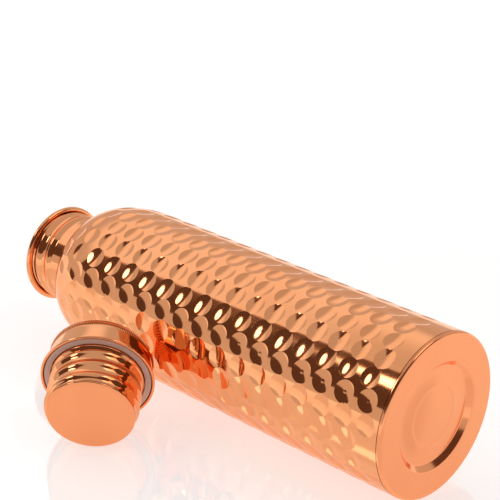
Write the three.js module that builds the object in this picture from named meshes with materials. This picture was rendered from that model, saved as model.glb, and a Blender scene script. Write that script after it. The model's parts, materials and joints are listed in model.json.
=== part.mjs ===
// A hammered copper water bottle lying on its side, with its screw cap taken off and laid against it.
// Millimetres, +Z up, the floor at Z = 0. The mouth points along -X and the cap lies on the -Y side.
// Every piece is pressed or rolled from copper sheet and is round about its own axis.
import * as THREE from "three";

// --- Driving dimensions -------------------------------------------------------------------------
const SHEET = 0.7; // copper sheet thickness
const FIT_GAP = 0.3; // between pieces that are brazed or seated together
const THREAD_CLEARANCE = 0.35; // between the plug's thread and the neck's, when screwed in

const BODY_RADIUS = 37.5;
const BODY_LENGTH = 179.5; // base plane to the start of the shoulder
const SHOULDER_LENGTH = 36;
const SHOULDER_SQUARENESS = 2.2; // 2 is an ellipse; more is a fuller shoulder

const BASE_CORNER = 1.4;
const BASE_RECESS_RADIUS = 22.5;
const BASE_RECESS_DEPTH = 2.2;
const BASE_RECESS_SLOPE = 2; // radial width of the recess's sloping wall
const BASE_FLANGE = 6; // length of the base's flange inside the shell

const NECK_LENGTH = 24.9; // shoulder to the middle of the rolled lip
const NECK_TAIL = 5; // length of the neck inside the shoulder
const LIP_ROLL = 1.05; // radius of the lip's roll, at the middle of the sheet
const LIP_ROLL_TURN = 300; // degrees

const PLUG_RADIUS = 20; // outside of the plug, between the thread's ridges
const PLUG_LENGTH = 24.4; // seat to the plug's end
const PLUG_CORNER = 0.6;
const PLUG_SKIRT = 2; // depth of the end disc's skirt inside the plug
const THREAD_PITCH = 7.3;
const THREAD_DEPTH = 1.2;
const THREAD_NARROWNESS = 1.5; // 1 is a plain wave; more makes narrower ridges
const THREAD_FADE = 1.6; // length over which a thread dies out
const PLUG_COLLAR = 2.1; // length of the collar that the washer sits round
const PLUG_THREAD_START = 274; // degrees, where the plug's helix begins
const NECK_THREAD_START = 190; // degrees, where the neck's helix begins
const NECK_THREAD_LENGTH = 13;

const WASHER_THICKNESS = 1.5;
const WASHER_WIDTH = 2.85; // inside edge to outside edge
const WASHER_ROUND = 0.35;

const CAP_LIP_ROLL = 0.3; // radius of the cap lip's roll, at the middle of the sheet
const CAP_LIP_HEIGHT = 1.6; // seat to the middle of the lip's roll
const CAP_HEIGHT = 11.6; // seat to the top of the side wall
const CAP_TAPER = 2.05; // how much narrower the side wall is under the knurled edge
const CAP_DOME = 1.4;
const KNURL_HEIGHT = 1.4;
const KNURL_PROUD = 0.6;

const CAP_STATION = 129.5; // base plane to the middle of the plug's end, along the bottle
const CAP_HEADING = -49.9; // degrees from +X, where the plug points
const CAP_GAP = 0.6; // between the cap and the bottle's side

const AROUND = 40; // facets round every piece

// --- Sizes that follow --------------------------------------------------------------------------
const HALF = SHEET / 2;
const FACET = (2 * Math.PI) / AROUND;
const SHOULDER_END = BODY_LENGTH + SHOULDER_LENGTH;
const NECK_INSIDE = PLUG_RADIUS + THREAD_CLEARANCE;
const NECK_MIDDLE = NECK_INSIDE + HALF; // middle of the neck's sheet
const LIP_HEIGHT = SHOULDER_END + NECK_LENGTH; // middle of the rolled lip
const SHELL_MOUTH = NECK_MIDDLE + HALF + FIT_GAP; // where the shoulder ends at the neck
const CREST_RADIUS = PLUG_RADIUS + THREAD_DEPTH;
const MOUTH_MIDDLE = NECK_MIDDLE + THREAD_DEPTH; // middle of the neck's sheet at the mouth
const BODY_MIDDLE = BODY_RADIUS - HALF;
const BASE_FLANGE_OUTSIDE = BODY_RADIUS - SHEET - FIT_GAP;
const BASE_SEAM = BASE_CORNER + FIT_GAP; // height of the seam between base and shell
const PLUG_INSIDE = PLUG_RADIUS - SHEET;
const WASHER_INSIDE = CREST_RADIUS + FIT_GAP;
const WASHER_RADIUS = WASHER_INSIDE + WASHER_WIDTH;
const PLUG_FLANGE_RADIUS = WASHER_RADIUS - FIT_GAP; // the cap's wall leans in behind the washer
const CAP_WALL_MIDDLE = WASHER_RADIUS + FIT_GAP + HALF; // middle of the wall's sheet at the lip
const CAP_LIP_MIDDLE = CAP_WALL_MIDDLE + CAP_LIP_ROLL;
const CAP_TOP_RADIUS = CAP_WALL_MIDDLE + HALF - CAP_TAPER;

const COPPER = { color: 0xd98a5f, metalness: 1, roughness: 0.12 };
const SILICONE = { color: 0xb9968a, metalness: 0, roughness: 0.55 };

// --- Outlines: x is the radius, y the height along the piece's axis ------------------------------
const at = (radius, height) => new THREE.Vector2(radius, height);

function arc(centre, radius, fromDegrees, toDegrees, steps) {
  const points = [];
  for (let i = 0; i <= steps; i++) {
    const angle = THREE.MathUtils.degToRad(
      fromDegrees + ((toDegrees - fromDegrees) * i) / steps,
    );
    points.push(
      at(
        centre.x + radius * Math.cos(angle),
        centre.y + radius * Math.sin(angle),
      ),
    );
  }
  return points;
}

// The closed outline of a sheet whose middle runs through these points.
function sheetOutline(middle, thickness = SHEET) {
  const left = [];
  const right = [];
  const fromAxis = middle[0].x === 0;
  middle.forEach((point, i) => {
    const before = middle[Math.max(i - 1, 0)];
    const after = middle[Math.min(i + 1, middle.length - 1)];
    const along = after.clone().sub(before).normalize();
    if (i === 0 && fromAxis) along.set(1, 0);
    const across = at(-along.y, along.x).multiplyScalar(thickness / 2);
    left.push(point.clone().add(across));
    right.push(point.clone().sub(across));
  });
  const outline = [...right, ...left.reverse()];
  return fromAxis ? outline : [...outline, right[0].clone()];
}

// Evenly spaced points between two, without the first.
function straight(from, to, steps) {
  const points = [];
  for (let i = 1; i <= steps; i++) points.push(from.clone().lerp(to, i / steps));
  return points;
}

function turned(outline) {
  return new THREE.LatheGeometry(outline, AROUND, FACET / 2);
}

// Moves each vertex in or out by offset(angle, height).
function pressedRadially(geometry, offset) {
  const position = geometry.getAttribute("position");
  for (let i = 0; i < position.count; i++) {
    const x = position.getX(i);
    const z = position.getZ(i);
    const radius = Math.hypot(x, z);
    if (radius === 0) continue;
    const moved = radius + offset(Math.atan2(x, z), position.getY(i), radius);
    position.setX(i, (x * moved) / radius);
    position.setZ(i, (z * moved) / radius);
  }
  return geometry;
}

// A thread rolled outwards from the sheet, to THREAD_DEPTH at its crest.
function rolledThread(from, to, startDegrees) {
  const start = THREE.MathUtils.degToRad(startDegrees);
  return (angle, height) => {
    const fade = THREE.MathUtils.smoothstep(
      Math.min(height - from, to - height),
      0,
      THREAD_FADE,
    );
    const phase = (2 * Math.PI * height) / THREAD_PITCH - angle - start;
    const ridge = ((1 + Math.cos(phase)) / 2) ** THREAD_NARROWNESS;
    return THREAD_DEPTH * ridge * fade;
  };
}

function mesh(name, geometry, finish) {
  const made = new THREE.Mesh(geometry, new THREE.MeshStandardMaterial(finish));
  made.name = name;
  return made;
}

// --- Bottle: height is measured from the plane that it stands on ---------------------------------
function bodyShell() {
  const seam = BASE_SEAM + FIT_GAP;
  const shoulderDrop = BODY_MIDDLE - SHELL_MOUTH;
  const middle = [at(BODY_MIDDLE, seam), at(BODY_MIDDLE, BODY_LENGTH / 2)];
  const steps = 8;
  for (let i = 0; i <= steps; i++) {
    const angle = (Math.PI / 2) * (i / steps);
    const power = 2 / SHOULDER_SQUARENESS;
    middle.push(
      at(
        SHELL_MOUTH + shoulderDrop * Math.cos(angle) ** power,
        BODY_LENGTH + SHOULDER_LENGTH * Math.sin(angle) ** power,
      ),
    );
  }
  return mesh("body_shell", turned(sheetOutline(middle)), COPPER);
}

function basePlate() {
  const ring = BASE_RECESS_RADIUS + BASE_RECESS_SLOPE;
  const corner = at(BODY_RADIUS - BASE_CORNER, BASE_CORNER);
  const flangeTop = BASE_SEAM + BASE_FLANGE;
  const flangeInside = BASE_FLANGE_OUTSIDE - SHEET;
  const outline = [
    at(0, BASE_RECESS_DEPTH),
    at(BASE_RECESS_RADIUS, BASE_RECESS_DEPTH),
    at(ring, 0),
    ...arc(corner, BASE_CORNER, -90, 0, 4),
    at(BODY_RADIUS, BASE_SEAM),
    at(BASE_FLANGE_OUTSIDE, BASE_SEAM),
    at(BASE_FLANGE_OUTSIDE, flangeTop),
    at(flangeInside, flangeTop),
    ...arc(at(flangeInside - BASE_CORNER, BASE_CORNER + SHEET), BASE_CORNER, 0, -90, 2),
    at(ring, SHEET),
    at(BASE_RECESS_RADIUS, BASE_RECESS_DEPTH + SHEET),
    at(0, BASE_RECESS_DEPTH + SHEET),
  ];
  return mesh("base_plate", turned(outline), COPPER);
}

function neckSleeve() {
  const threadTop = LIP_HEIGHT - LIP_ROLL - HALF;
  const threadBottom = threadTop - NECK_THREAD_LENGTH;
  const lip = at(MOUTH_MIDDLE + LIP_ROLL, LIP_HEIGHT);
  const middle = [
    at(NECK_MIDDLE, SHOULDER_END - NECK_TAIL),
    at(NECK_MIDDLE, threadBottom),
    ...straight(at(NECK_MIDDLE, threadBottom), at(NECK_MIDDLE, threadTop), 10),
    ...arc(lip, LIP_ROLL, 180, 180 - LIP_ROLL_TURN, 8),
  ];
  const thread = rolledThread(threadBottom, threadTop, NECK_THREAD_START);
  return mesh(
    "neck_sleeve",
    pressedRadially(turned(sheetOutline(middle)), thread),
    COPPER,
  );
}

// --- Cap: height is measured from the washer's seat, towards the plug's end ----------------------
function threadedPlug() {
  const wall = PLUG_RADIUS - HALF;
  const collar = CREST_RADIUS - HALF;
  const end = PLUG_LENGTH - SHEET - FIT_GAP;
  const threadFrom = PLUG_COLLAR + THREAD_DEPTH;
  const threadTo = end - FIT_GAP;
  const middle = [
    at(PLUG_FLANGE_RADIUS, -HALF),
    at(collar, -HALF),
    at(collar, PLUG_COLLAR),
    at(wall, threadFrom),
    ...straight(at(wall, threadFrom), at(wall, threadTo), 14),
    at(wall, end),
  ];
  const thread = rolledThread(threadFrom, threadTo, PLUG_THREAD_START);
  return mesh(
    "threaded_plug",
    pressedRadially(turned(sheetOutline(middle)), thread),
    COPPER,
  );
}

// A flat disc with a short skirt that goes inside the plug.
function plugEndDisc() {
  const back = PLUG_LENGTH - SHEET;
  const skirt = PLUG_INSIDE - FIT_GAP;
  const outline = [
    at(0, back),
    at(skirt - SHEET, back),
    at(skirt - SHEET, back - PLUG_SKIRT),
    at(skirt, back - PLUG_SKIRT),
    at(skirt, back),
    at(PLUG_RADIUS, back),
    ...arc(at(PLUG_RADIUS - PLUG_CORNER, PLUG_LENGTH - PLUG_CORNER), PLUG_CORNER, 0, 90, 2),
    at(0, PLUG_LENGTH),
  ];
  return mesh("plug_end_disc", turned(outline), COPPER);
}

function sealingWasher() {
  const inside = WASHER_INSIDE;
  const low = FIT_GAP;
  const high = FIT_GAP + WASHER_THICKNESS;
  const r = WASHER_ROUND;
  const outline = [
    ...arc(at(inside + r, low + r), r, 180, 270, 1),
    ...arc(at(WASHER_RADIUS - r, low + r), r, -90, 0, 1),
    ...arc(at(WASHER_RADIUS - r, high - r), r, 0, 90, 1),
    ...arc(at(inside + r, high - r), r, 90, 180, 1),
    at(inside, low + r),
  ];
  return mesh("sealing_washer", turned(outline), SILICONE);
}

// A cup with a rolled lip and a proud band round its top edge, where the knurl is.
function capShell() {
  const top = -CAP_HEIGHT;
  const lip = at(CAP_LIP_MIDDLE, CAP_LIP_HEIGHT);
  const knurlMiddle = top + KNURL_HEIGHT / 2;
  const wallTop = at(CAP_TOP_RADIUS - HALF, top + KNURL_HEIGHT);
  const wallFoot = at(CAP_WALL_MIDDLE, lip.y - 2 * CAP_LIP_ROLL);
  const domeSteps = 3;
  const middle = [];
  for (let i = 0; i <= domeSteps; i++) {
    const share = i / domeSteps;
    const rise = CAP_DOME * (1 - share * share);
    middle.push(at((CAP_TOP_RADIUS - 2 * HALF) * share, top - rise));
  }
  middle.push(
    at(CAP_TOP_RADIUS - HALF + KNURL_PROUD, knurlMiddle - KNURL_HEIGHT / 4),
    at(CAP_TOP_RADIUS - HALF + KNURL_PROUD, knurlMiddle + KNURL_HEIGHT / 4),
    wallTop,
    wallFoot,
    ...arc(lip, CAP_LIP_ROLL, 180, -70, 7),
  );
  return mesh("cap_shell", turned(sheetOutline(middle)), COPPER);
}

// --- Assembly -----------------------------------------------------------------------------------
function makeBottle() {
  const bottle = new THREE.Group();
  bottle.add(bodyShell(), basePlate(), neckSleeve());
  bottle.rotation.z = Math.PI / 2;
  bottle.position.z = BODY_RADIUS;
  return bottle;
}

// The cap rests on its lip and on the edge of the plug's end, so its axis dips towards the plug.
function capDip() {
  const lip = at(CAP_LIP_MIDDLE, CAP_LIP_HEIGHT);
  const edge = at(PLUG_RADIUS - PLUG_CORNER, PLUG_LENGTH - PLUG_CORNER);
  const between = edge.clone().sub(lip);
  const roundness = CAP_LIP_ROLL + HALF - PLUG_CORNER;
  return Math.atan2(-between.x, between.y) + Math.asin(roundness / between.length());
}

function makeCap() {
  const cap = new THREE.Group();
  cap.add(threadedPlug(), plugEndDisc(), sealingWasher(), capShell());
  cap.rotation.z = -Math.PI / 2;
  const lying = new THREE.Group();
  lying.add(cap);
  lying.rotation.order = "ZYX";
  lying.rotation.set(0, capDip(), THREE.MathUtils.degToRad(CAP_HEADING));
  return lying;
}

// Stands the group on the floor.
function setDown(group) {
  group.position.z -= new THREE.Box3().setFromObject(group, true).min.z;
}

// Slides the cap up to the bottle until its nearest point is CAP_GAP from the bottle's side.
function layCapByBottle(cap) {
  const end = at(0, PLUG_LENGTH);
  const tip = new THREE.Vector3(end.y, 0, 0).applyEuler(cap.rotation);
  cap.position.x = -CAP_STATION - tip.x;
  setDown(cap);
  cap.updateMatrixWorld(true);
  const reach = BODY_RADIUS + CAP_GAP;
  const point = new THREE.Vector3();
  let shift = 0;
  cap.traverse((piece) => {
    if (!piece.isMesh) return;
    const position = piece.geometry.getAttribute("position");
    for (let i = 0; i < position.count; i++) {
      point.fromBufferAttribute(position, i).applyMatrix4(piece.matrixWorld);
      const above = point.z - BODY_RADIUS;
      if (Math.abs(above) >= reach) continue;
      shift = Math.min(shift, -Math.sqrt(reach ** 2 - above ** 2) - point.y);
    }
  });
  cap.position.y = shift;
}

const bottle = makeBottle();
const cap = makeCap();
layCapByBottle(cap);
setDown(bottle);

const object = new THREE.Group();
object.add(bottle, cap);
const extent = new THREE.Box3().setFromObject(object, true);
const middle = extent.getCenter(new THREE.Vector3());
object.position.set(-middle.x, -middle.y, -extent.min.z);

export default object;
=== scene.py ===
import json
import math
from collections import namedtuple
from functools import partial

import bpy
import numpy as np
from mathutils import Matrix, Vector


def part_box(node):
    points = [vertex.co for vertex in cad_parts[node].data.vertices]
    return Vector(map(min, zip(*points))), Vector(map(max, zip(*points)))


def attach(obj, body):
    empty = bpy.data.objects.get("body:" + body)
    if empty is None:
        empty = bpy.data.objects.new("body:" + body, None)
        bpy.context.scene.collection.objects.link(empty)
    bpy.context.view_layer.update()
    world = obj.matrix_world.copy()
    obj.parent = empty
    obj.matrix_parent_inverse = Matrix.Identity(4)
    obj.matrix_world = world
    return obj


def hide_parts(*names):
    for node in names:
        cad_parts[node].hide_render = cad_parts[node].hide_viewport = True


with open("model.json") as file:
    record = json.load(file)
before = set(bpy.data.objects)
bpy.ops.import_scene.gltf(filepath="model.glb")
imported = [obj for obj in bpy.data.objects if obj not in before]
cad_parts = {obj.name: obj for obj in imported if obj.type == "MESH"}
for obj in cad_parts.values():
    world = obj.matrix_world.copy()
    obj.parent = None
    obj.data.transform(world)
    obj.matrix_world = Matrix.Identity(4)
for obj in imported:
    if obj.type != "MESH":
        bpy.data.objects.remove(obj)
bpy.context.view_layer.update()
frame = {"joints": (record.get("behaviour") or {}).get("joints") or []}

# A hammered copper water bottle on its side with its screw cap laid against it, on a glossy white
# floor. The CAD gives the places, and this script gives each piece its real surface. Lengths are in
# millimetres, as in the CAD source, and MM turns them into metres. Named angles are in degrees.
MM = 0.001

# --- Sizes: as in the CAD source, with the fine detail that only shows here -----------------------
SHEET = 0.7  # copper sheet thickness
HALF = SHEET / 2
FIT_GAP = 0.3  # between pieces that are brazed or seated together
CAD_FACETS = 40  # round each piece
INSCRIBED = math.cos(math.pi / CAD_FACETS)  # keeps round pieces inside the faceted CAD
RIM_LIFT = 0.03  # the cap's round rims reach this much lower than the CAD's facets
COLUMNS = 240  # round the smooth pieces

BODY_RADIUS = 37.5
BODY_LENGTH = 179.5
SHOULDER_LENGTH = 36
SHOULDER_SQUARENESS = 2.2  # 2 is an ellipse; more is a fuller shoulder
SHELL_START = 2.0  # lower edge of the shell, from the base plane
SHELL_MOUTH_RADIUS = 21.35
SHOULDER_POINTS = 200
BODY_COLUMNS = 325
BODY_ROW_STEP = 0.79
INSIDE_ROW_SKIP = 12  # rows of the outer side for each row of the plain inner side

DISH_ROWS = 25  # rows of hammer marks round the bottle
DISH_ROW_START = -49  # from the top, where the first row of marks runs
DISH_SPACING = 12.3  # between marks in one row
DISH_CLOSENESS = 0.98  # share of the spacing that the marks really keep
DISH_LEAD = 0.4  # share of the spacing by which each row starts early
DISH_RADIUS = 4.95
DISH_DEPTH = 0.72
DISH_SIZES = (0.92, 1.03)  # smallest and largest mark, as shares
DISH_FIRST = 7.2  # where rows are counted from, from the base
DISH_EARLIEST = 6.2  # no mark's middle is nearer to the base
DISH_WANDER = 0.3  # how far a mark strays from its row
DISH_ROW_SHIFT = (-0.12, 0.3)  # how far a row is shifted from the last one, in spacings
DISH_SHRINK = 0.75  # how quickly marks get smaller as the shoulder closes in
DISH_GRASP = 1.6  # how far out a mark is worked out, in its radii
UNBEATEN = 4.0  # squared distance from a mark, in its radii, that counts as out of reach
PLAIN_END = 7  # length of plain shell at the neck
HAMMER_SEED = 11

BASE_CORNER = 1.4
BASE_SEAM = 1.7
BASE_FLANGE = 6
BASE_RECESS_RADIUS = 22.5
BASE_RECESS_SLOPE = 2
BASE_RECESS_DEPTH = 2.2
BASE_RECESS_EDGE = 0.7  # rounding of the recess's inner edge
BASE_RING_EDGE = 0.6  # rounding of the recess's outer edge
BASE_BOSS_RADIUS = 14  # faint round boss in the middle of the recess
BASE_BOSS_RISE = 0.5

NECK_BOTTOM = 210.5
NECK_MIDDLE = 20.7  # radius of the middle of the neck's sheet
LIP_HEIGHT = 240.35
LIP_ROLL = 1.05
LIP_ROLL_TURN = 300
NECK_THREAD_LENGTH = 13
NECK_THREAD_START = 190

THREAD_PITCH = 7.3
THREAD_DEPTH = 1.2
THREAD_NARROWNESS = 1.5  # 1 is a plain wave; more makes narrower ridges
THREAD_FADE = 1.6  # length over which a thread dies out

PLUG_RADIUS = 20
PLUG_LENGTH = 24.4
PLUG_CORNER = 0.6
PLUG_SKIRT = 2
PLUG_FLANGE_RADIUS = 24.05
PLUG_FLANGE_EASE = 0.4  # rounding between the flange and the collar
PLUG_COLLAR = 2.1
PLUG_THREAD_START = 274
CREST_RADIUS = PLUG_RADIUS + THREAD_DEPTH

WASHER_INSIDE = 21.5
WASHER_RADIUS = 24.35
WASHER_SEAT = 0.3
WASHER_THICKNESS = 1.5
WASHER_ROUND = 0.35
WASHER_COLUMNS = 200

CAP_LIP_RADIUS = 25.95
CAP_LIP_ROLL = 0.3
CAP_LIP_HEIGHT = 1.6
CAP_HEIGHT = 11.6
CAP_TOP_RADIUS = 23.3
CAP_DOME = 1.4
KNURL_HEIGHT = 1.4
KNURL_PROUD = 0.6
KNURL_TOP_EDGE = 0.3  # rounding of the knurled band's edges
KNURL_LOW_EDGE = 0.25
KNURL_MARGIN = 0.1  # the teeth run this far past the band
KNURL_TEETH = 168
KNURL_DEPTH = 0.6
TOOTH_COLUMNS = 4

# --- Colours, floor, studio and camera ------------------------------------------------------------
COPPER = (0.96, 0.415, 0.19)
COPPER_DEEP = (0.93, 0.375, 0.16)
COPPER_SPUN = (0.98, 0.37, 0.165)
COPPER_SPUN_DEEP = (0.95, 0.345, 0.15)
TAN = (0.8, 0.56, 0.46)
TAN_DEEP = (0.72, 0.5, 0.41)
WHITE = (1, 1, 1)

FLOOR_REACH = 6.0  # metres
FLOOR_DROP = 0.0002  # metres below the pieces

# A direction's height is the sine of its elevation, and azimuths turn anticlockwise from +X.
ROOM_LIGHT_LEVEL = 0.68
ROOM_LIGHT_OVERHEAD = 0.6
OPENING_FROM = 209  # azimuths between which the room has its dark opening
OPENING_TO = 50
OPENING_SIDES = (0.03, 0.04)  # softness of its two sides
OPENING_FOOT = (0.225, 0.245)  # heights over which it fades in at its foot
OPENING_HEAD = (0.86, 0.8)  # and out at its head, from the top down
OPENING_LIGHT = 0.17  # share of the room's light that is left in it
OPENING_TINT = (1, 0.62, 0.45)
SOFTBOX_AZIMUTH = 231
SOFTBOX_ELEVATION = 43.5
SOFTBOX_RADIUS = 7
SOFTBOX_EDGE = 1.6  # width over which it fades out
SOFTBOX_LIGHT = 4.5
SIDE_LIGHT = 0.42
BACK_LIGHT = 2.2

CAMERA_PLACE = (470.7, -443.9, 371.0)
CAMERA_AZIMUTH = 44.2  # that the view turns to the left of +Y
CAMERA_ELEVATION = 23.9
CAMERA_LENS = 115.8


# --- Outlines: (radius, height along the piece's axis) -------------------------------------------
def arc(centre, radius, start, end, steps):
    angles = np.radians(np.linspace(start, end, steps + 1))
    return [(centre[0] + radius * math.cos(a), centre[1] + radius * math.sin(a)) for a in angles]


def straight(start, end, steps):
    """Points from start to end, without start."""
    shares = np.linspace(0, 1, steps + 1)[1:]
    return [tuple((1 - s) * np.array(start) + s * np.array(end)) for s in shares]


def sheet_outline(middle):
    """The closed outline of a sheet whose middle runs through these points."""
    points = np.array(middle, float)
    along = np.gradient(points, axis=0)
    if points[0, 0] == 0:
        along[0] = (1, 0)
    along /= np.linalg.norm(along, axis=1)[:, None]
    across = np.stack([-along[:, 1], along[:, 0]], 1) * HALF
    return np.concatenate([points - across, (points + across)[::-1]])


# --- Meshes --------------------------------------------------------------------------------------
def around(radius, angle, height):
    """Points round local +Z."""
    return np.stack([radius * np.cos(angle), radius * np.sin(angle), height], -1)


def turned(name, outline, columns, place, press=None, smooth_angle=40):
    """A piece turned round local +Z from an outline, which is closed unless both of its ends are on
    the axis. press(angle, height, radius) moves its points outwards."""
    outline = np.array(outline, float)
    rows = len(outline)
    radius = np.repeat(outline[:, :1], columns, 1)
    height = np.repeat(outline[:, 1:], columns, 1)
    angle = np.tile(np.arange(columns) * 2 * math.pi / columns, (rows, 1))
    if press is not None:
        radius = np.where(radius > 0, radius + press(angle, height, radius), 0)
    grid = around(radius * INSCRIBED, angle, height) * MM
    on_axis = outline[:, 0] == 0
    index = np.arange(rows * columns).reshape(rows, columns)
    index[on_axis] = index[on_axis][:, :1]
    bands = rows - 1 if on_axis[0] and on_axis[-1] else rows
    faces = []
    for i in range(bands):
        low, high = index[i], index[(i + 1) % rows]
        quads = np.stack([low, np.roll(low, -1), np.roll(high, -1), high], 1)
        faces += [list(dict.fromkeys(quad)) for quad in quads.tolist()]
    faces = [face for face in faces if len(face) > 2]
    return finish_mesh(name, grid.reshape(-1, 3), faces, place, smooth_angle)


def finish_mesh(name, points, faces, place, smooth_angle):
    """A piece from points in its own frame, put in its place. The materials read where each point
    was before that from the attribute own_place."""
    used = np.unique(np.concatenate([np.array(face) for face in faces]))
    renumber = np.full(len(points), -1)
    renumber[used] = np.arange(len(used))
    mesh = bpy.data.meshes.new(name)
    faces = [[int(renumber[i]) for i in face] for face in faces]
    mesh.from_pydata(points[used].tolist(), [], faces)
    mesh.validate()
    own_place = mesh.attributes.new("own_place", "FLOAT_VECTOR", "POINT")
    own_place.data.foreach_set("vector", points[used].ravel())
    mesh.transform(place)
    mesh.shade_smooth()
    mesh.set_sharp_from_angle(angle=math.radians(smooth_angle))
    piece = bpy.data.objects.new(name, mesh)
    bpy.context.scene.collection.objects.link(piece)
    return piece


def rolled_thread(start, end, start_degrees):
    """A thread rolled outwards: how far the sheet stands out at an angle and height."""
    def press(angle, height, radius):
        fade = np.clip(np.minimum(height - start, end - height) / THREAD_FADE, 0, 1)
        fade = fade * fade * (3 - 2 * fade)
        phase = 2 * math.pi * height / THREAD_PITCH - angle - math.radians(start_degrees)
        ridge = ((1 + np.cos(phase)) / 2) ** THREAD_NARROWNESS
        return THREAD_DEPTH * ridge * fade
    return press


# --- Places --------------------------------------------------------------------------------------
def centre_of(node):
    low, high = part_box(node)
    return (low + high) / 2


def axis_frame(origin, axis):
    """A matrix whose +Z runs along axis from origin, and whose +X points up as far as it can."""
    z = Vector(axis).normalized()
    up = Vector((0, 0, 1))
    x = (up - up.dot(z) * z).normalized()
    y = z.cross(x)
    turn = Matrix((x, y, z)).transposed().to_4x4()
    return Matrix.Translation(origin) @ turn


body_middle = centre_of("body_shell")
base_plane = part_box("base_plate")[1].x
BOTTLE = axis_frame(Vector((base_plane, body_middle.y, body_middle.z)), (-1, 0, 0))

pull = next(j for j in frame["joints"] if j["name"] == "washer_pull")
plug_axis = Vector(pull["axis"]).normalized()
washer_middle = WASHER_SEAT + WASHER_THICKNESS / 2
seat = centre_of("sealing_washer") - plug_axis * washer_middle * MM
CAP = axis_frame(seat + Vector((0, 0, RIM_LIFT * MM)), plug_axis)


# --- Materials -----------------------------------------------------------------------------------
def add_node(tree, kind, inputs=None, **settings):
    """A new node, with each of its inputs linked to a socket or set to a value."""
    node = tree.nodes.new(kind)
    for key, value in settings.items():
        setattr(node, key, value)
    for key, value in (inputs or {}).items():
        if isinstance(value, bpy.types.NodeSocket):
            tree.links.new(value, node.inputs[key])
        else:
            node.inputs[key].default_value = value
    return node


class Nodes:
    """Short calls for building one material's node tree."""

    def __init__(self, name):
        self.material = bpy.data.materials.new(name)
        self.material.use_nodes = True
        self.tree = self.material.node_tree
        self.shader = self.tree.nodes["Principled BSDF"]
        self.add = partial(add_node, self.tree)
        place = self.add("ShaderNodeAttribute", attribute_name="own_place")
        self.place = place.outputs["Vector"]

    def noise(self, scale, detail, roughness, place=None):
        inputs = {"Vector": place or self.place, "Scale": scale}
        inputs.update({"Detail": detail, "Roughness": roughness})
        return self.add("ShaderNodeTexNoise", inputs).outputs["Fac"]

    def remap(self, value, low, high, to_low=0.0, to_high=1.0):
        inputs = {"Value": value, "From Min": low, "From Max": high}
        inputs.update({"To Min": to_low, "To Max": to_high})
        return self.add("ShaderNodeMapRange", inputs).outputs["Result"]

    def mix(self, share, first, second):
        inputs = {"Factor": share, "A": (*first, 1), "B": (*second, 1)}
        return self.add("ShaderNodeMix", inputs, data_type="RGBA").outputs["Result"]

    def rings(self, scale, detail, roughness):
        """Noise that changes only with the distance from the piece's axis, as turning marks do."""
        inputs = {0: self.place, 1: (1, 1, 0)}
        flat = self.add("ShaderNodeVectorMath", inputs, operation="MULTIPLY").outputs[0]
        reach = self.add("ShaderNodeVectorMath", {0: flat}, operation="LENGTH").outputs["Value"]
        height = self.add("ShaderNodeSeparateXYZ", {0: self.place}).outputs["Z"]
        place = self.add("ShaderNodeCombineXYZ", {"X": reach, "Y": height}).outputs[0]
        return self.noise(scale, detail, roughness, place)

    def bump(self, height, strength, distance):
        inputs = {"Height": height, "Strength": strength, "Distance": distance}
        self.set("Normal", self.add("ShaderNodeBump", inputs).outputs["Normal"])

    def set(self, socket, value):
        if isinstance(value, bpy.types.NodeSocket):
            self.tree.links.new(value, self.shader.inputs[socket])
        else:
            self.shader.inputs[socket].default_value = value


def copper(name, light, deep, smoothest, roughest, grain=None, ring_marks=None):
    """Polished copper: faint patches of deeper colour, handling haze, and either fine polishing
    marks of this grain or turning rings of this strength."""
    n = Nodes(name)
    patches = n.noise(scale=28, detail=5, roughness=0.55)
    n.set("Base Color", n.mix(n.remap(patches, 0.35, 0.7), light, deep))
    haze = n.noise(scale=90, detail=6, roughness=0.62)
    n.set("Roughness", n.remap(haze, 0.3, 0.75, smoothest, roughest))
    n.set("Metallic", 1.0)
    n.set("Specular Tint", (1, 0.9, 0.82, 1))
    if ring_marks:
        rings = n.rings(scale=2600, detail=3, roughness=0.6)
        n.bump(rings, strength=ring_marks, distance=0.04 * MM)
    else:
        marks = n.noise(scale=grain, detail=3, roughness=0.6)
        n.bump(marks, strength=0.03, distance=0.1 * MM)
    return n.material


def silicone():
    n = Nodes("silicone_tan")
    mottle = n.noise(scale=160, detail=5, roughness=0.6)
    n.set("Base Color", n.mix(n.remap(mottle, 0.3, 0.7), TAN, TAN_DEEP))
    n.set("Roughness", n.remap(mottle, 0.3, 0.7, 0.5, 0.62))
    n.set("Subsurface Weight", 0.15)
    n.set("Subsurface Radius", (0.0012, 0.0007, 0.0005))
    grain = n.noise(scale=1500, detail=2, roughness=0.5)
    n.bump(grain, strength=0.15, distance=0.05 * MM)
    return n.material


HAMMERED = copper("copper_hammered", COPPER, COPPER_DEEP, 0.05, 0.11, grain=700)
POLISHED = copper("copper_polished", COPPER, COPPER_DEEP, 0.05, 0.12, grain=900)
SPUN = copper("copper_spun", COPPER_SPUN, COPPER_SPUN_DEEP, 0.11, 0.16, ring_marks=0.12)
SILICONE = silicone()


def ready(piece, body, node, material):
    piece.data.materials.append(material)
    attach(piece, body)
    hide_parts(node)


# --- Body: height is measured along the bottle from the plane that it stands on -------------------
MarkOffset = namedtuple("MarkOffset", "onward round_way reach depth near")


def shoulder_point(share):
    angle = share * math.pi / 2
    power = 2 / SHOULDER_SQUARENESS
    drop = BODY_RADIUS - HALF - SHELL_MOUTH_RADIUS
    return (
        SHELL_MOUTH_RADIUS + drop * math.cos(angle) ** power,
        BODY_LENGTH + SHOULDER_LENGTH * math.sin(angle) ** power,
    )


def evenly_spaced(points, step):
    """The same line, with points about step apart, and how far along it each of them is."""
    points = np.array(points)
    lengths = np.concatenate([[0], np.cumsum(np.linalg.norm(np.diff(points, axis=0), axis=1))])
    places = np.linspace(0, lengths[-1], int(lengths[-1] / step) + 1)
    return np.stack([np.interp(places, lengths, points[:, i]) for i in (0, 1)], 1), places


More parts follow.
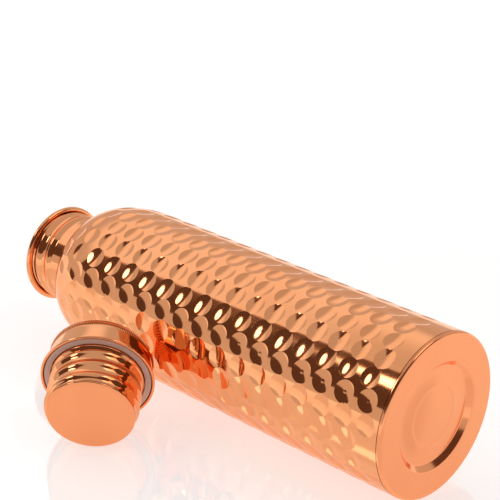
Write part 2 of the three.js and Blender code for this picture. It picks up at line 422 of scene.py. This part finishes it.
def shell_sides():
    """The plain shell's outer side, as rows of distance along it, radius, height and slope, and
    the outline of its inner side."""
    straight_side = [(BODY_RADIUS - HALF, SHELL_START), (BODY_RADIUS - HALF, BODY_LENGTH)]
    curve = [shoulder_point(share) for share in np.linspace(0, 1, SHOULDER_POINTS)]
    middle, along = evenly_spaced(straight_side + curve[1:], BODY_ROW_STEP)
    outline = sheet_outline(middle)
    outer, inner = outline[: len(middle)], outline[len(middle):]
    end = INSIDE_ROW_SKIP // 2
    inner = np.concatenate([inner[:1], inner[end:-end:INSIDE_ROW_SKIP], inner[-1:]])
    ahead = np.gradient(outer, axis=0)
    slope = np.arctan2(-ahead[:, 0], ahead[:, 1])
    return (along + SHELL_START, outer[:, 0], outer[:, 1], slope), inner


def shell_surface(side, angle, along):
    """Points on the plain outer side, with the way out of it and the way along it."""
    radius, height, slope = (np.interp(along, side[0], row) for row in side[1:])
    outward = around(np.cos(slope), angle, np.sin(slope))
    onward = around(-np.sin(slope), angle, np.cos(slope))
    return around(radius, angle, height), outward, onward


def wrapped(angle):
    return (angle + math.pi) % (2 * math.pi) - math.pi


def hammer_marks(last):
    """Each mark as its angle, its distance along the shell and its size. Rows run along the
    bottle, and a hand's small errors let them wander."""
    chance = np.random.default_rng(HAMMER_SEED)
    count = int((last - DISH_FIRST) / DISH_SPACING) + 1
    marks = []
    shift = 0.0
    for row in range(DISH_ROWS):
        shift = (shift + chance.uniform(*DISH_ROW_SHIFT)) % 1
        for i in range(count):
            stray = chance.uniform(-DISH_WANDER, DISH_WANDER, 2)
            along = DISH_FIRST + (i + shift) * DISH_SPACING * DISH_CLOSENESS + stray[0]
            along -= DISH_SPACING * DISH_LEAD
            if DISH_EARLIEST < along < last:
                turn = math.radians(DISH_ROW_START + 360 * row / DISH_ROWS)
                turn += stray[1] / BODY_RADIUS
                marks.append((turn, along, chance.uniform(*DISH_SIZES)))
    return marks


class Hammering:
    """The marks on the outer side, and which of them each point of its grid is nearest to. The
    grid's rows are distances along the shell and its columns are angles."""

    def __init__(self, side, angles):
        along, radius = side[:2]
        marks = []
        self.nearest = np.zeros((len(along), len(angles)), int)
        self.fall = np.full(self.nearest.shape, UNBEATEN)  # squared distance, in the mark's radii
        for turn, middle, size in hammer_marks(along[-1] - PLAIN_END):
            near = np.interp(middle, along, radius)
            shrink = (near / BODY_RADIUS) ** DISH_SHRINK
            reach = DISH_RADIUS * size * shrink
            rows = np.abs(along - middle) < DISH_GRASP * reach
            away = wrapped(angles - turn) * near
            columns = np.abs(away) < DISH_GRASP * reach
            block = np.ix_(rows, columns)
            fall = ((along[rows, None] - middle) ** 2 + away[None, columns] ** 2) / reach**2
            closer = fall < self.fall[block]
            self.nearest[block] = np.where(closer, len(marks), self.nearest[block])
            self.fall[block] = np.minimum(self.fall[block], fall)
            marks.append((turn, middle, near, reach, DISH_DEPTH * shrink * size))
        self.marks = np.array(marks)

    def offsets(self, mark, angle, along):
        """From a mark's middle to a point, along the bottle and round it, and the mark's sizes."""
        turn, middle, near, reach, depth = np.moveaxis(self.marks[mark], -1, 0)
        return MarkOffset(along - middle, wrapped(angle - turn) * near, reach, depth, near)


def hammered_side(side, angles, hammering):
    """The outer side's grid of points, with their angles, their distances along and whether each
    is on a mark's rim. Points near a rim move onto it, so that the rim is crisp."""
    angle, along = np.meshgrid(angles, side[0])
    there = hammering.offsets(hammering.nearest, angle, along)
    distance = np.sqrt(hammering.fall) * there.reach
    on_rim = np.abs(distance - there.reach) < BODY_ROW_STEP / 2
    on_rim[:2] = on_rim[-2:] = False
    pull = np.where(on_rim, there.reach / np.maximum(distance, 1) - 1, 0)
    angle = angle + pull * there.round_way / there.near
    along = along + pull * there.onward
    hollow = np.where(on_rim, 0, there.depth * np.clip(1 - hammering.fall, 0, None))
    point, outward, _ = shell_surface(side, angle, along)
    return point - hollow[..., None] * outward, angle, along, on_rim


def grid_quads(rows, columns):
    """The quads of a grid that closes on itself both ways."""
    index = np.arange(rows * columns).reshape(rows, columns)
    above = np.roll(index, -1, 0)
    corners = [index, np.roll(index, -1, 1), np.roll(above, -1, 1), above]
    return np.stack(corners, -1).reshape(-1, 4)


def cut_quads(quads, on_rim):
    """Two triangles a quad, cut from rim point to rim point, so that rims run along edges."""
    rim_corner = on_rim.ravel()[quads]
    other_way = (rim_corner[:, 1] & rim_corner[:, 3])[:, None]
    first = np.where(other_way, quads[:, [0, 1, 3]], quads[:, [0, 1, 2]])
    second = np.where(other_way, quads[:, [1, 2, 3]], quads[:, [0, 2, 3]])
    return np.concatenate([first, second])


def mark_normals(side, hammering, nearest, angle, along):
    """The way out at the corners of triangles. Each triangle takes its shading from the one mark
    that it lies in, so that marks meet in clean edges."""
    middle_angle = angle[:, :1] + wrapped(angle - angle[:, :1]).mean(1, keepdims=True)
    there = hammering.offsets(nearest, middle_angle, along.mean(1, keepdims=True))
    fall = (there.onward**2 + there.round_way**2) / there.reach**2
    best = fall.argmin(1)[:, None]
    mark = np.take_along_axis(nearest, best, 1)
    beaten = np.take_along_axis(fall, best, 1) < 1
    there = hammering.offsets(mark, angle, along)
    lean = np.where(beaten, 2 * there.depth / there.reach**2, 0)
    _, outward, onward = shell_surface(side, angle, along)
    round_way = np.stack([-np.sin(angle), np.cos(angle), np.zeros_like(angle)], -1)
    normal = outward - (lean * there.onward)[..., None] * onward
    normal -= (lean * there.round_way)[..., None] * round_way
    return normal / np.linalg.norm(normal, axis=-1, keepdims=True)


def body_shell():
    side, inner = shell_sides()
    angles = np.arange(BODY_COLUMNS) * 2 * math.pi / BODY_COLUMNS
    hammering = Hammering(side, angles)
    outer, angle, along, on_rim = hammered_side(side, angles, hammering)
    radius, height = (np.repeat(inner[:, i, None], BODY_COLUMNS, 1) for i in (0, 1))
    grid = np.concatenate([outer, around(radius, angles, height)])
    grid[..., :2] *= INSCRIBED
    quads = grid_quads(len(grid), BODY_COLUMNS)
    outer_quads = (len(outer) - 1) * BODY_COLUMNS
    corners = cut_quads(quads[:outer_quads], on_rim)
    faces = corners.tolist() + quads[outer_quads:].tolist()
    piece = finish_mesh("body_hammered", grid.reshape(-1, 3) * MM, faces, BOTTLE, 60)

    mesh = piece.data
    normals = np.zeros(len(mesh.loops) * 3)
    mesh.corner_normals.foreach_get("vector", normals)
    normals = normals.reshape(-1, 3)
    at_corners = [values.ravel()[corners] for values in (hammering.nearest, angle, along)]
    beaten_normals = mark_normals(side, hammering, *at_corners) @ np.array(BOTTLE.to_3x3()).T
    normals[: corners.size] = beaten_normals.reshape(-1, 3)
    mesh.normals_split_custom_set(normals.tolist())
    return piece


def neck_sleeve():
    thread_top = LIP_HEIGHT - LIP_ROLL - HALF
    thread_bottom = thread_top - NECK_THREAD_LENGTH
    lip = (NECK_MIDDLE + THREAD_DEPTH + LIP_ROLL, LIP_HEIGHT)
    middle = [(NECK_MIDDLE, NECK_BOTTOM)]
    middle += straight(middle[-1], (NECK_MIDDLE, thread_bottom), 6)
    middle += straight(middle[-1], (NECK_MIDDLE, thread_top), 70)
    middle += arc(lip, LIP_ROLL, 180, 180 - LIP_ROLL_TURN, 36)
    press = rolled_thread(thread_bottom, thread_top, NECK_THREAD_START)
    return turned("neck_threaded", sheet_outline(middle), COLUMNS, BOTTLE, press)


def base_plate():
    ring = BASE_RECESS_RADIUS + BASE_RECESS_SLOPE
    flange_outside = BODY_RADIUS - SHEET - FIT_GAP
    flange_inside = flange_outside - SHEET
    flange_top = BASE_SEAM + BASE_FLANGE
    deep = BASE_RECESS_DEPTH
    edge = BASE_RECESS_EDGE
    floor_edge = BASE_RECESS_RADIUS - edge
    outline = [(0, deep - BASE_BOSS_RISE)]
    for radius in np.linspace(1, BASE_BOSS_RADIUS - 0.4, 14):
        rise = BASE_BOSS_RISE * (1 - (radius / BASE_BOSS_RADIUS) ** 2)
        outline.append((radius, deep - rise))
    outline += [(BASE_BOSS_RADIUS - 0.1, deep - 0.12), (BASE_BOSS_RADIUS + 0.3, deep)]
    outline += [(floor_edge, deep)]
    outline += arc((floor_edge + 0.3, deep - edge), edge, 90, 45, 3)
    outline += arc((ring + 0.5, BASE_RING_EDGE), BASE_RING_EDGE, 225, 270, 4)
    outline += straight((ring + 0.9, 0), (BODY_RADIUS - BASE_CORNER - 0.5, 0), 4)
    outline += arc((BODY_RADIUS - BASE_CORNER, BASE_CORNER), BASE_CORNER, -90, 0, 14)
    outline += [(BODY_RADIUS, BASE_SEAM), (flange_outside, BASE_SEAM)]
    outline += [(flange_outside, flange_top), (flange_inside, flange_top)]
    outline += [(flange_inside, BASE_CORNER + SHEET), (flange_inside - BASE_CORNER, SHEET)]
    outline += [(ring, SHEET), (BASE_RECESS_RADIUS, deep + SHEET), (0, deep + SHEET)]
    return turned("base_dished", outline, COLUMNS, BOTTLE, smooth_angle=50)


# --- Cap: height is measured from the washer's seat, towards the plug's end -----------------------
def threaded_plug():
    wall = PLUG_RADIUS - HALF
    collar = CREST_RADIUS - HALF
    end = PLUG_LENGTH - SHEET - FIT_GAP
    start = PLUG_COLLAR + THREAD_DEPTH
    middle = [(PLUG_FLANGE_RADIUS, -HALF), (collar + PLUG_FLANGE_EASE, -HALF), (collar, 0.05)]
    middle += straight(middle[-1], (collar, PLUG_COLLAR), 4)
    middle += straight(middle[-1], (wall, start), 5)
    middle += straight(middle[-1], (wall, end), 110)
    press = rolled_thread(start, end - FIT_GAP, PLUG_THREAD_START)
    return turned("plug_threaded", sheet_outline(middle), COLUMNS, CAP, press)


def plug_end_disc():
    back = PLUG_LENGTH - SHEET
    skirt = PLUG_RADIUS - SHEET - FIT_GAP
    corner = (PLUG_RADIUS - PLUG_CORNER, PLUG_LENGTH - PLUG_CORNER)
    outline = [(0, back), (skirt - SHEET, back), (skirt - SHEET, back - PLUG_SKIRT)]
    outline += [(skirt, back - PLUG_SKIRT), (skirt, back), (PLUG_RADIUS, back)]
    outline += arc(corner, PLUG_CORNER, 0, 90, 8)
    outline += straight(outline[-1], (0.5, PLUG_LENGTH), 12) + [(0, PLUG_LENGTH)]
    return turned("plug_disc_satin", outline, COLUMNS, CAP, smooth_angle=50)


def sealing_washer():
    r = WASHER_ROUND
    low, high = WASHER_SEAT, WASHER_SEAT + WASHER_THICKNESS
    outline = arc((WASHER_INSIDE + r, low + r), r, 180, 270, 5)
    outline += arc((WASHER_RADIUS - r, low + r), r, -90, 0, 5)
    outline += arc((WASHER_RADIUS - r, high - r), r, 0, 90, 5)
    outline += arc((WASHER_INSIDE + r, high - r), r, 90, 180, 5)
    return turned("washer_silicone", outline, WASHER_COLUMNS, CAP)


def knurl(angle, height, radius):
    """Fine teeth round the cap's top edge."""
    low = -CAP_HEIGHT - KNURL_MARGIN
    high = -CAP_HEIGHT + KNURL_HEIGHT + KNURL_MARGIN
    toothed = (height > low) & (height < high) & (radius > CAP_TOP_RADIUS + KNURL_PROUD / 2)
    tooth = (1 - np.cos(angle * KNURL_TEETH)) / 2
    return np.where(toothed, -KNURL_DEPTH * tooth, 0)


def cap_shell():
    top = -CAP_HEIGHT
    under = top + KNURL_HEIGHT
    wall = CAP_TOP_RADIUS - HALF
    proud = wall + KNURL_PROUD
    lip = (CAP_LIP_RADIUS - HALF - CAP_LIP_ROLL, CAP_LIP_HEIGHT)
    foot = (lip[0] - CAP_LIP_ROLL, CAP_LIP_HEIGHT - 2 * CAP_LIP_ROLL)
    top_edge = (proud - KNURL_TOP_EDGE, top + HALF)
    low_edge = (proud - KNURL_LOW_EDGE, under - KNURL_TOP_EDGE)
    middle = []
    for radius in np.linspace(0, wall - HALF, 14):
        middle.append((radius, top - CAP_DOME * (1 - (radius / wall) ** 2)))
    middle += arc(top_edge, KNURL_TOP_EDGE, -90, 0, 4)
    middle += straight(middle[-1], (proud, under - HALF), 3)
    middle += arc(low_edge, KNURL_LOW_EDGE, 0, 70, 3)
    middle += straight((wall, under + KNURL_MARGIN), foot, 8)
    middle += arc(lip, CAP_LIP_ROLL, 180, -70, 20)
    columns = KNURL_TEETH * TOOTH_COLUMNS
    return turned("cap_knurled", sheet_outline(middle), columns, CAP, knurl, smooth_angle=45)


ready(body_shell(), "bottle", "body_shell", HAMMERED)
ready(neck_sleeve(), "bottle", "neck_sleeve", POLISHED)
ready(base_plate(), "bottle", "base_plate", SPUN)
ready(threaded_plug(), "cap", "threaded_plug", POLISHED)
ready(plug_end_disc(), "cap", "plug_end_disc", SPUN)
ready(cap_shell(), "cap", "cap_shell", POLISHED)
ready(sealing_washer(), "washer", "sealing_washer", SILICONE)


# --- Floor, studio and camera --------------------------------------------------------------------
def floor():
    mesh = bpy.data.meshes.new("floor")
    reach = FLOOR_REACH
    corners = [(-reach, -reach), (reach, -reach), (reach, reach), (-reach, reach)]
    mesh.from_pydata([(x, y, -FLOOR_DROP) for x, y in corners], [], [(0, 1, 2, 3)])
    sheet = bpy.data.objects.new("floor", mesh)
    bpy.context.scene.collection.objects.link(sheet)
    n = Nodes("floor_gloss_white")
    n.set("Base Color", (0.6, 0.6, 0.6, 1))
    n.set("Roughness", 0.05)
    n.set("IOR", 2.3)
    n.set("Emission Color", (*WHITE, 1))
    n.set("Emission Strength", 0.58)
    mesh.materials.append(n.material)


def towards(azimuth, elevation=0):
    a, e = math.radians(azimuth), math.radians(elevation)
    return (math.cos(e) * math.cos(a), math.cos(e) * math.sin(a), math.sin(e))


def studio():
    """A white room by direction: bright overhead, greyer near the floor, and in front a dark
    opening with a round softbox in it, which draws the dark band and its row of bright spots."""
    world = bpy.data.worlds.new("studio")
    bpy.context.scene.world = world
    world.use_nodes = True
    tree = world.node_tree
    tree.nodes.clear()
    add = partial(add_node, tree)
    direction = add("ShaderNodeTexCoord").outputs["Generated"]

    def along(vector):
        inputs = {0: direction, 1: vector}
        return add("ShaderNodeVectorMath", inputs, operation="DOT_PRODUCT").outputs["Value"]

    def step(value, low, high, to_low=0.0, to_high=1.0):
        inputs = {"Value": value, "From Min": low, "From Max": high}
        inputs.update({"To Min": to_low, "To Max": to_high})
        return add("ShaderNodeMapRange", inputs, interpolation_type="SMOOTHSTEP").outputs["Result"]

    def combine(operation, first, second):
        return add("ShaderNodeMath", {0: first, 1: second}, operation=operation).outputs[0]

    plus, times = partial(combine, "ADD"), partial(combine, "MULTIPLY")

    def panel(azimuth, elevation, half_width, half_height, soft):
        """1 inside a flat rectangle that faces the bottle from this direction, 0 outside it."""
        ahead = along(towards(azimuth, elevation))
        across = along(towards(azimuth + 90))
        upwards = along(towards(azimuth, elevation + 90))
        share = step(ahead, 0.0, 0.1)
        for offset, reach in ((across, half_width), (upwards, half_height)):
            place = combine("DIVIDE", offset, ahead)
            size = add("ShaderNodeMath", {0: place}, operation="ABSOLUTE").outputs[0]
            far = math.tan(math.radians(reach + soft))
            near = math.tan(math.radians(reach - soft))
            share = times(share, step(size, far, near))
        return share

    height = along(towards(0, 90))
    room = step(height, 0.0, 1.0, ROOM_LIGHT_LEVEL, ROOM_LIGHT_OVERHEAD)
    side_panel = panel(azimuth=174, elevation=44, half_width=35, half_height=11, soft=6)
    room = plus(room, times(side_panel, SIDE_LIGHT))
    begins = step(along(towards(OPENING_FROM + 90)), 0.0, OPENING_SIDES[0])
    ends = step(along(towards(OPENING_TO - 90)), 0.0, OPENING_SIDES[1])
    opening_height = times(step(height, *OPENING_FOOT), step(height, *OPENING_HEAD))
    opening = times(combine("MAXIMUM", begins, ends), opening_height)
    softbox_edges = (SOFTBOX_RADIUS + SOFTBOX_EDGE, SOFTBOX_RADIUS)
    far, near = (math.cos(math.radians(edge)) for edge in softbox_edges)
    softbox = step(along(towards(SOFTBOX_AZIMUTH, SOFTBOX_ELEVATION)), far, near)
    back_panel = panel(azimuth=30, elevation=52, half_width=14, half_height=12, soft=2)
    lit = times(room, step(opening, 0, 1, 1.0, OPENING_LIGHT))
    lit = plus(lit, times(softbox, SOFTBOX_LIGHT))
    lit = plus(lit, times(back_panel, BACK_LIGHT))
    camera_ray = add("ShaderNodeLightPath").outputs["Is Camera Ray"]
    shown = combine("MAXIMUM", lit, camera_ray)
    tint = times(opening, step(softbox, 0, 1, 1.0, 0.0))
    inputs = {"Factor": tint, "A": (*WHITE, 1), "B": (*OPENING_TINT, 1)}
    colour = add("ShaderNodeMix", inputs, data_type="RGBA").outputs["Result"]
    surface = add("ShaderNodeBackground", {"Color": colour, "Strength": shown})
    add("ShaderNodeOutputWorld", {"Surface": surface.outputs[0]})


def camera():
    lens = bpy.data.cameras.new("camera")
    lens.lens = CAMERA_LENS
    lens.clip_start = 0.01
    view = bpy.data.objects.new("camera", lens)
    view.location = Vector(CAMERA_PLACE) * MM
    view.rotation_euler = (math.radians(90 - CAMERA_ELEVATION), 0, math.radians(CAMERA_AZIMUTH))
    bpy.context.scene.collection.objects.link(view)
    bpy.context.scene.camera = view


floor()
studio()
camera()
bpy.context.scene.view_settings.view_transform = "Standard"
